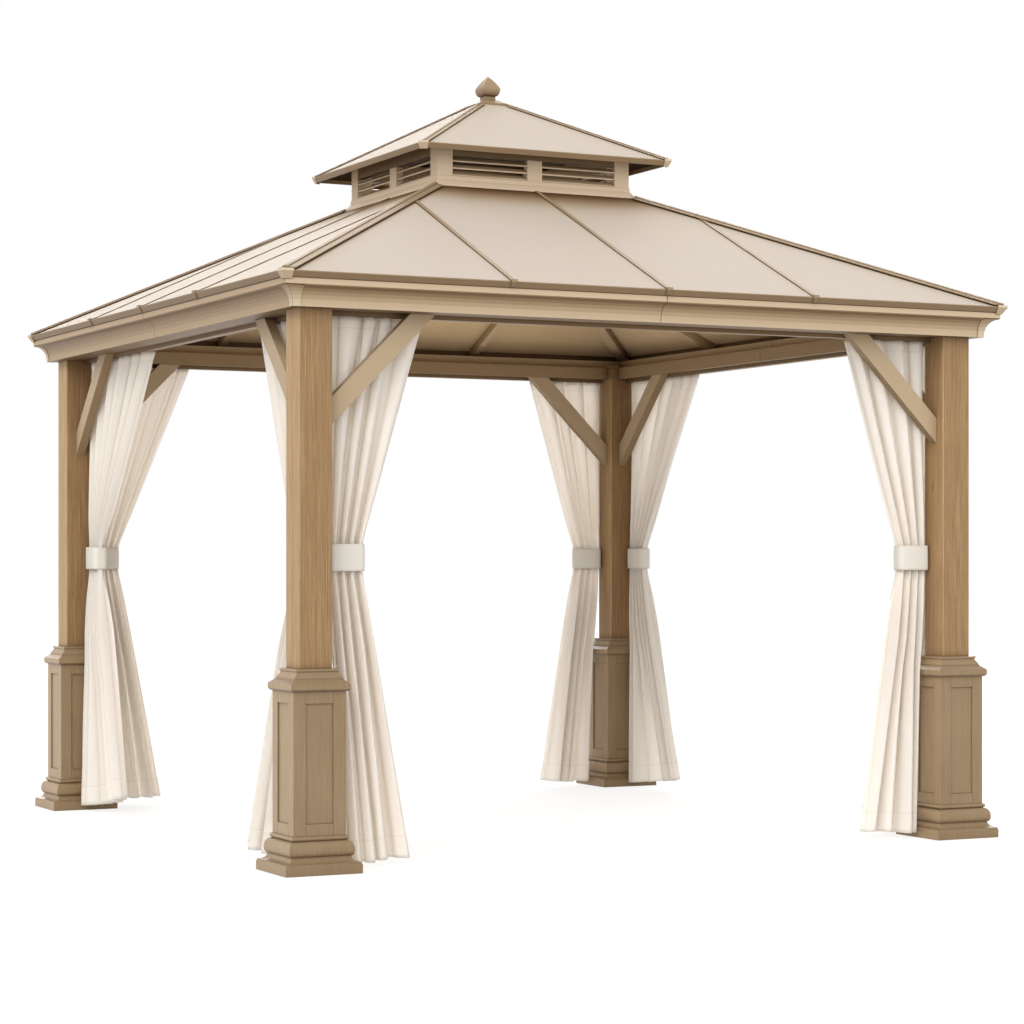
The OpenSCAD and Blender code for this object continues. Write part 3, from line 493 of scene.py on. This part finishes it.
def curtain_room(node, z, band_low):
    """The room that a curtain's CAD solid gives its cloth at each height.

    Gives its edge by the post, pulled straight below the band, its free edge, and the middle and half
    of its depth, less the thickness of the cloth.
    """
    low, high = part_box(node)
    along, deep = long_axis(node)
    steps = int(OUTLINE_EASE / ((high.z - low.z) / (OUTLINE_ROWS - 1)))
    edge_low, edge_high = (eased(v, steps) for v in cut_at(node, z, along))
    deep_low, deep_high = (eased(v, steps) for v in cut_at(node, z, deep))
    free_is_high = abs(high[along]) < abs(low[along])
    post_side, free_side = (edge_low, edge_high) if free_is_high else (edge_high, edge_low)
    hanging = z < band_low
    post_side[hanging] = taut(z[hanging], post_side[hanging], 1 if free_is_high else -1)
    middle, half_depth = (deep_low + deep_high) / 2, (deep_high - deep_low) / 2 - CLOTH_T
    return [v[:, None] for v in (post_side, free_side, middle, half_depth)]


def lay_folds(draw, folds, above, below, start, sway_top, sway_foot):
    """The folds of a curtain, as they run from its band up to its rail and down to its foot.

    above and below say how far each row is from the band, from 0 to 1. Gives each point's phase in
    its fold, its place across from 0 to 1, and how far it stands out from the middle, from -1 to 1.
    """
    top_share, foot_share = above ** 0.85, below ** 0.7
    columns = np.linspace(0, 1, folds * PER_FOLD + 1)

    def shaped(low_value, high_value, waist):
        """A value for each fold at the top and the foot, with one value for all at the waist."""
        top = fold_values(draw, folds, low_value, high_value, columns)
        foot = fold_values(draw, folds, low_value, high_value, columns)
        return waist + (top - waist) * top_share + (foot - waist) * foot_share

    phase = 2 * np.pi * (folds * columns + start)
    phase = phase + 0.3 * np.sin(2.4 * above + sway_top) * top_share
    phase = phase + 0.3 * np.sin(2.2 * below + sway_foot) * foot_share
    top_place = fold_places(draw, folds, columns)
    foot_place = fold_places(draw, folds, columns)
    placed = columns + (top_place - columns) * top_share + (foot_place - columns) * foot_share
    lean = shaped(-0.04, 0.16, 0.06)
    swell = shaped(0.05, 0.14, 0.04)
    tuck = shaped(0.05, 0.12, 0.08)
    bend = lean * np.cos(phase) - swell * np.sin(phase) + tuck * np.sin(2 * phase)
    across = placed + bend / folds
    lowest, highest = across.min(axis=1, keepdims=True), across.max(axis=1, keepdims=True)
    across = (across - lowest) / (highest - lowest)

    narrow_size = shaped(0.68, 0.95, 0.9)
    broad_size = shaped(0.50, 0.95, 0.9)
    lobes = 2 * (0.5 + 0.5 * np.cos(phase)) ** 0.62 - 1
    return phase, across, lobes * np.where(lobes < 0, narrow_size, broad_size)


def curtain_points(node, seed, folds, band_low, band_high):
    """Points of a gathered curtain, column by column, in the space of its CAD solid."""
    draw = np.random.default_rng(seed)
    low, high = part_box(node)
    z = np.linspace(high.z, low.z, OUTLINE_ROWS)
    post_side, free_side, middle, half_depth = curtain_room(node, z, band_low)
    z = z[:, None]
    above = np.clip((z - band_high) / (high.z - band_high), 0, 1)
    below = np.clip((band_low - z) / (band_low - low.z), 0, 1)
    start = draw.uniform(0, 1)
    sway_top, sway_foot, gather_turn, waist_turn, _, drift_turn, _, _ = draw.uniform(0, 2 * np.pi, 8)
    phase, across, profile = lay_folds(draw, folds, above, below, start, sway_top, sway_foot)

    header = np.exp(-((high.z - z - HEADER_HEM) / HEADER_PINCH) ** 2)
    gathers = np.exp(-((high.z - z) / GATHER_DROP) ** 2)
    from_band = np.maximum(z - band_high, 0) + np.maximum(band_low - z, 0)
    held = np.exp(-(from_band / WAIST_REACH) ** 2)
    rounded = np.clip(1 - np.abs(2 * across - 1) ** 4, 0, 1) ** 0.25
    lobe = np.minimum(half_depth, LOBE)
    reach = lobe * (1 - 0.12 * header) * (1 - held * (1 - 0.9 * rounded))
    small = 0.05 * gathers * np.cos(2 * phase + gather_turn) + 0.14 * held * np.cos(2 * phase + waist_turn)
    drift = np.sin(np.pi * across) * np.sin(2 * np.pi * across * draw.uniform(0.7, 1.2) + drift_turn)
    out = middle + np.clip(profile * 0.93 + small, -1, 1) * reach + drift * (half_depth - lobe)

    along, deep = long_axis(node)
    points = np.empty(out.shape + (3,))
    points[..., along] = post_side + (free_side - post_side) * across
    points[..., deep] = out
    points[..., 2] = z
    return points


def hang(points):
    """Re-divides each column by its length, so that a column that slants more hangs a little short.

    Gives the points of the hung cloth, and how far down the cloth each of its rows is.
    """
    steps = np.linalg.norm(np.diff(points, axis=0), axis=2)
    lengths = np.concatenate([np.zeros((1, points.shape[1])), np.cumsum(steps, axis=0)])
    length = lengths[-1].min()
    edges = (HEADER_HEM, length - FOOT_HEM)
    hems = [edge + side for edge in edges for side in (-HEM_LINE, HEM_LINE)]
    marks = np.sort(np.concatenate([np.linspace(0, length, CLOTH_ROWS), hems]))
    out = np.empty((len(marks),) + points.shape[1:])
    for column in range(points.shape[1]):
        drawn = 1 + (1 - HEM_RISE) * (lengths[-1, column] / length - 1)
        for axis in range(3):
            out[:, column, axis] = np.interp(marks * drawn, lengths[:, column], points[:, column, axis])
    return out, marks


def hold_values(mesh, name, values):
    """Keeps a number for each point of a mesh, for its material."""
    held = mesh.attributes.new(name, "FLOAT", "POINT")
    held.data.foreach_set("value", np.asarray(values, np.float32).ravel())


def grid_faces(rows, columns, wrap):
    """The faces of a grid of points, closed round its columns if it wraps."""
    faces = []
    for r in range(rows - 1):
        for c in range(columns - (0 if wrap else 1)):
            n = (c + 1) % columns
            faces.append((r * columns + c, r * columns + n, (r + 1) * columns + n, (r + 1) * columns + c))
    return faces


def sheet_mesh(name, points, down, wrap=False):
    """A grid of points as a piece, with a UV map in metres of cloth and distances from its edges."""
    rows, columns = points.shape[:2]
    mesh = bpy.data.meshes.new(name)
    mesh.from_pydata(points.reshape(-1, 3).tolist(), [], grid_faces(rows, columns, wrap))
    steps = np.linalg.norm(np.diff(points[rows // 6], axis=0), axis=1)
    across = np.concatenate([[0], np.cumsum(steps)])
    loops = np.array([loop.vertex_index for loop in mesh.loops])
    u_values = across[loops % columns]
    if wrap:
        corner = np.arange(len(loops)) % 4
        closing = (loops % columns == 0) & ((corner == 1) | (corner == 2))
        u_values = np.where(closing, across[-1] + steps.mean(), u_values)
    uv = mesh.uv_layers.new(name="cloth")
    uv.data.foreach_set("uv", np.stack([u_values, down[loops // columns]], axis=1).ravel())
    hold_values(mesh, "from_top", np.repeat(down, columns))
    hold_values(mesh, "from_foot", np.repeat(down[-1] - down, columns))
    hold_values(mesh, "from_side", np.tile(np.minimum(across, across[-1] - across), rows))
    mesh.shade_smooth()
    made = bpy.data.objects.new(name, mesh)
    bpy.context.scene.collection.objects.link(made)
    return made


def thicken(piece, thickness, hemmed=None):
    """Gives cloth its thickness, doubled at the points that hemmed holds the numbers of."""
    shell = piece.modifiers.new("cloth_thickness", "SOLIDIFY")
    shell.offset = 0
    shell.thickness = thickness
    if hemmed is not None:
        group = piece.vertex_groups.new(name="hems")
        group.add(hemmed, 1.0, "REPLACE")
        shell.vertex_group = "hems"
        shell.thickness = 2 * thickness
        shell.thickness_vertex_group = 0.5


def make_curtain(node, seed, band_low, band_high, material):
    """The cloth of one curtain, hung from its rail and drawn together by its band."""
    folds, width = CURTAIN_CUTS[node]
    points, marks = hang(curtain_points(node, seed, folds, band_low, band_high))
    piece = sheet_mesh(node.replace("curtain", "drape"), points, marks)
    in_hem = (marks < HEADER_HEM) | (marks > marks[-1] - FOOT_HEM)
    hemmed = np.nonzero(np.repeat(in_hem, points.shape[1]))[0]
    thicken(piece, CLOTH_T, hemmed.tolist())
    piece.data.materials.append(material)
    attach(piece, "root")
    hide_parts(node)


def band_outline(half_w, half_d):
    """The outline of a band seen from above, round (0, 0)."""
    outline = []
    for turn in range(4):
        cx = (half_w - BAND_CORNER) * (1 if turn in (0, 3) else -1)
        cy = (half_d - BAND_CORNER) * (1 if turn in (0, 1) else -1)
        for step in range(BAND_STEPS + 1):
            angle = math.radians(90 * turn + 90 * step / BAND_STEPS)
            outline.append((cx + BAND_CORNER * math.cos(angle), cy + BAND_CORNER * math.sin(angle)))
    return outline


def make_band(node, band_low, band_high, material):
    """A flat strip sewn into a loop round a curtain's waist."""
    along, deep = long_axis(node)
    middle_z = (band_low + band_high) / 2
    left, right = (v[0] for v in cut_at(node, [middle_z], along))
    near, far = (v[0] for v in cut_at(node, [middle_z], deep))
    half_w, half_d = (right - left) / 2 + BAND_SLACK, (far - near) / 2 + BAND_SLACK
    outline = band_outline(half_w, half_d)
    down = np.linspace(0, band_high - band_low, BAND_ROWS)
    points = np.empty((BAND_ROWS, len(outline), 3))
    for r in range(BAND_ROWS):
        share = 2 * r / (BAND_ROWS - 1) - 1
        swell = BAND_SWELL * (1 - share ** 2) - BAND_SWELL * max(0, abs(share) - 0.8)
        for c, (x, y) in enumerate(outline):
            size = math.hypot(x, y)
            points[r, c, along] = (left + right) / 2 + x * (1 + swell / size)
            points[r, c, deep] = (near + far) / 2 + y * (1 + swell / size)
            points[r, c, 2] = band_high - down[r]
    piece = sheet_mesh(node.replace("curtain", "band"), points, down, wrap=True)
    thicken(piece, BAND_T)
    piece.data.materials.append(material)
    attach(piece, "root")
    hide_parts("tie_bands")


def make_curtains(materials):
    """The cloth of every curtain and of its band."""
    band_low, band_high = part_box("tie_bands")[0].z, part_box("tie_bands")[1].z
    for seed, node in enumerate(CURTAIN_CUTS, FIRST_SEED):
        make_curtain(node, seed, band_low, band_high, materials["curtain_cloth"])
        make_band(node, band_low, band_high, materials["band_cloth"])


# ---- Camera, light and ground ----


def make_camera():
    """The camera at the photograph's place, level, with its view shifted up."""
    data = bpy.data.cameras.new("camera")
    data.lens, data.sensor_width, data.shift_y = CAMERA_LENS, CAMERA_SENSOR, CAMERA_RISE
    made = bpy.data.objects.new("camera", data)
    made.location = CAMERA_PLACE
    made.rotation_euler = (math.pi / 2, 0, -CAMERA_TURN)
    bpy.context.scene.collection.objects.link(made)
    bpy.context.scene.camera = made


def make_lamp(name, strength, width, towards):
    """A sun lamp, width degrees wide, in the direction towards."""
    data = bpy.data.lights.new(name, "SUN")
    data.energy, data.angle, data.color = strength, math.radians(width), LAMP_COLOUR
    made = bpy.data.objects.new(name, data)
    pitch = math.acos(towards[2] / np.linalg.norm(towards))
    made.rotation_euler = (pitch, 0, math.atan2(towards[1], towards[0]) + math.pi / 2)
    bpy.context.scene.collection.objects.link(made)


def seen_directly(tree):
    """1 for rays that show the background itself: from the camera, mirrored or through glass."""
    path = add(tree, "LightPath")
    share = math_node(tree, "MAXIMUM", path.outputs["Is Camera Ray"], path.outputs["Is Glossy Ray"])
    return math_node(tree, "MAXIMUM", share, path.outputs["Is Transmission Ray"])


def make_world():
    """A white background that lights the gazebo softly."""
    world = bpy.data.worlds.new("studio")
    bpy.context.scene.world = world
    world.use_nodes = True
    tree = world.node_tree
    tree.nodes.clear()
    light = add(tree, "Background", {"Color": ROOM_COLOUR, "Strength": ROOM_STRENGTH})
    shown = add(tree, "Background", {"Color": WHITE, "Strength": 1.0})
    surface = add(tree, "MixShader", {0: seen_directly(tree), 1: light.outputs[0], 2: shown.outputs[0]})
    add(tree, "OutputWorld", {"Surface": surface.outputs[0]})


def make_floor():
    """A white floor that takes faint shadows."""
    corners = [(x * FLOOR_HALF, y * FLOOR_HALF, 0) for x, y in ((-1, -1), (1, -1), (1, 1), (-1, 1))]
    mesh = bpy.data.meshes.new("floor")
    mesh.from_pydata(corners, [], [(0, 1, 2, 3)])
    made = bpy.data.objects.new("floor", mesh)
    made.location.z = -FLOOR_DROP
    bpy.context.scene.collection.objects.link(made)
    material, tree = new_material("floor")
    lit = add(tree, "BsdfDiffuse", {"Color": FLOOR_LIT})
    faint = add(tree, "BsdfDiffuse", {"Color": FLOOR_FAINT})
    glow = add(tree, "Emission", {"Color": WHITE, "Strength": FLOOR_GLOW})
    shown = add(tree, "AddShader", {0: faint.outputs[0], 1: glow.outputs[0]})
    surface = add(tree, "MixShader", {0: seen_directly(tree), 1: lit.outputs[0], 2: shown.outputs[0]})
    add(tree, "OutputMaterial", {"Surface": surface.outputs[0]})
    mesh.materials.append(material)


# ---- The scene ----

make_camera()
make_world()
make_floor()
for lamp, settings in LAMPS.items():
    make_lamp(lamp, *settings)
materials = make_materials()
dress_frame(materials)
make_curtains(materials)

bpy.context.scene.view_settings.view_transform = "Standard"
